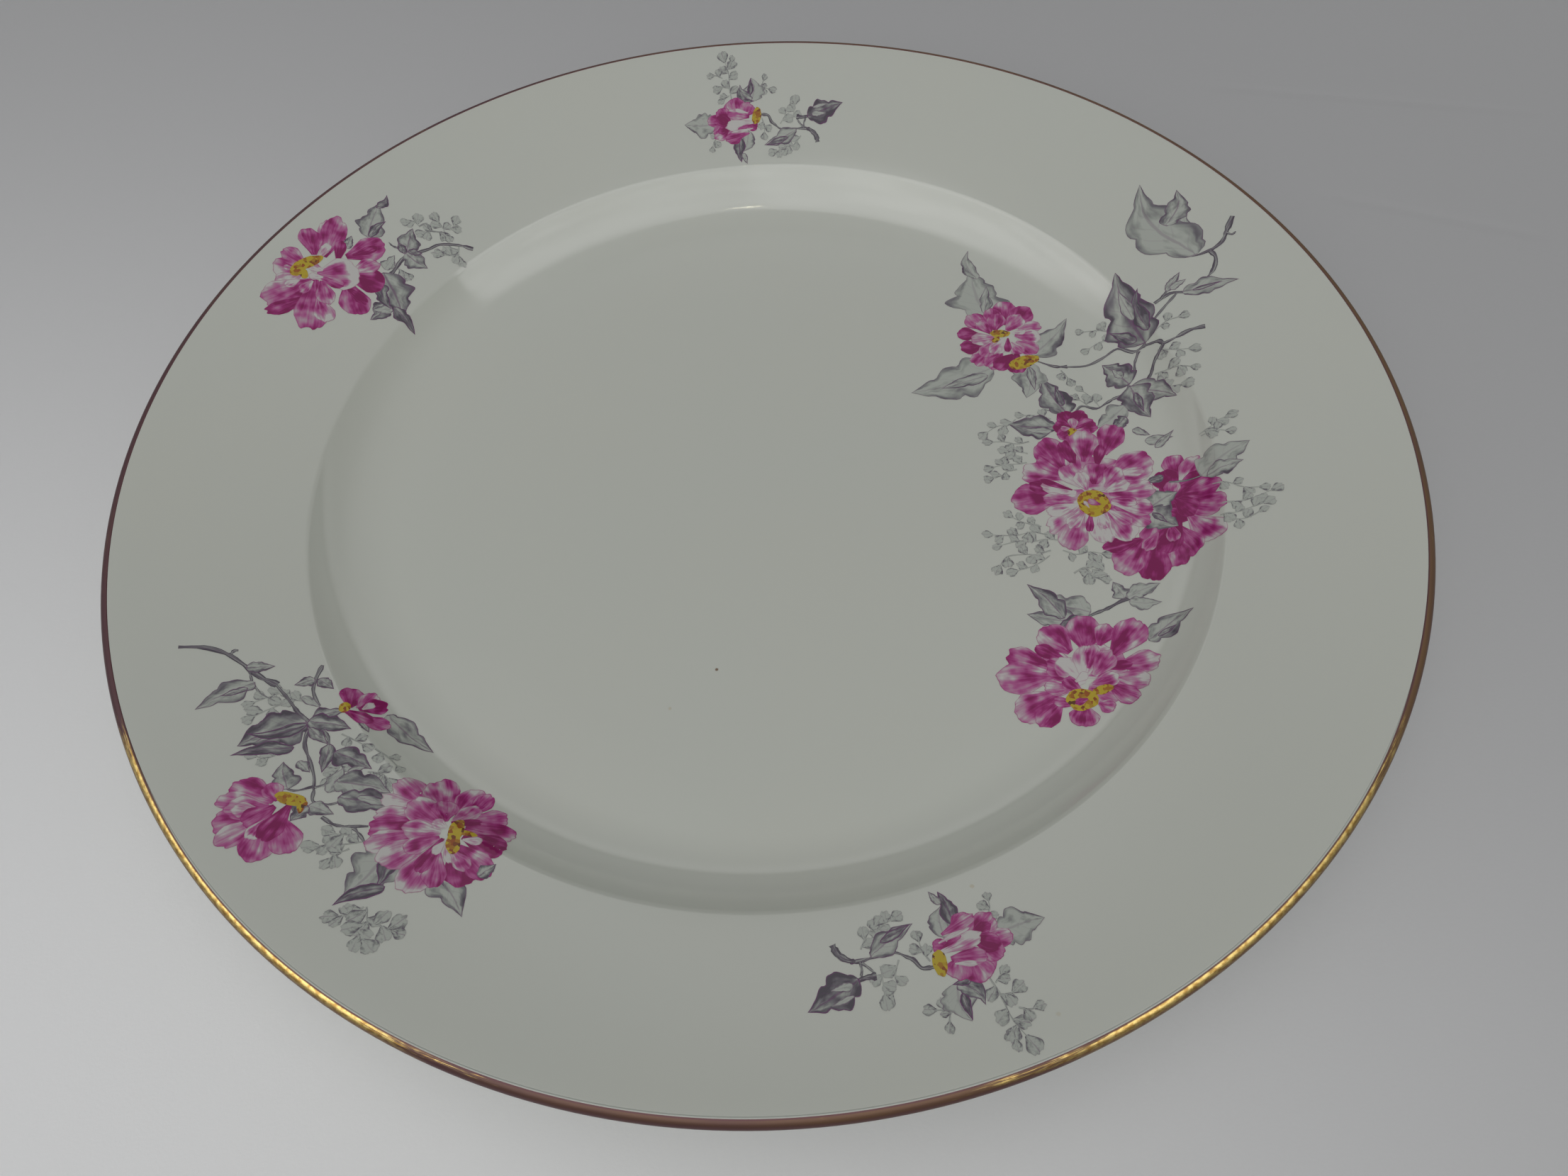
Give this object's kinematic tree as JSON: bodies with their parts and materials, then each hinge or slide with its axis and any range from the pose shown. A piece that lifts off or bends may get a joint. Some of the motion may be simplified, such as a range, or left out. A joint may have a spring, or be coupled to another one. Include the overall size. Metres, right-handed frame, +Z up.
{
  "type": "dinner plate",
  "caption": "Round porcelain dinner plate with a broad sloping rim, shallow well, foot ring, gilt lip line and scattered rose sprays.",
  "frame": {"origin": "centre of the foot ring's underside, on the surface that the plate stands on", "axes": "+Z up along the plate's axis; -Y towards the diner, the side with the lower bud spray; +X to the right, the side with the large spray"},
  "size_m": [0.254, 0.254, 0.027],
  "materials": {
    "white_glaze": "glossy transparent glaze over greenish-white porcelain",
    "gilding": "burnished gold line, worn through to dark brown in places",
    "floral_enamel": "glossy fired overglaze colour, rose pink, magenta, yellow and grey-green"
  },
  "bodies": {
    "root": {"porcelain_body": "white_glaze", "gilt_lip_band": "gilding", "decal_upper_left": "floral_enamel", "decal_top": "floral_enamel", "decal_right": "floral_enamel", "decal_lower_left": "floral_enamel", "decal_bottom": "floral_enamel"}
  },
  "joints": []
}
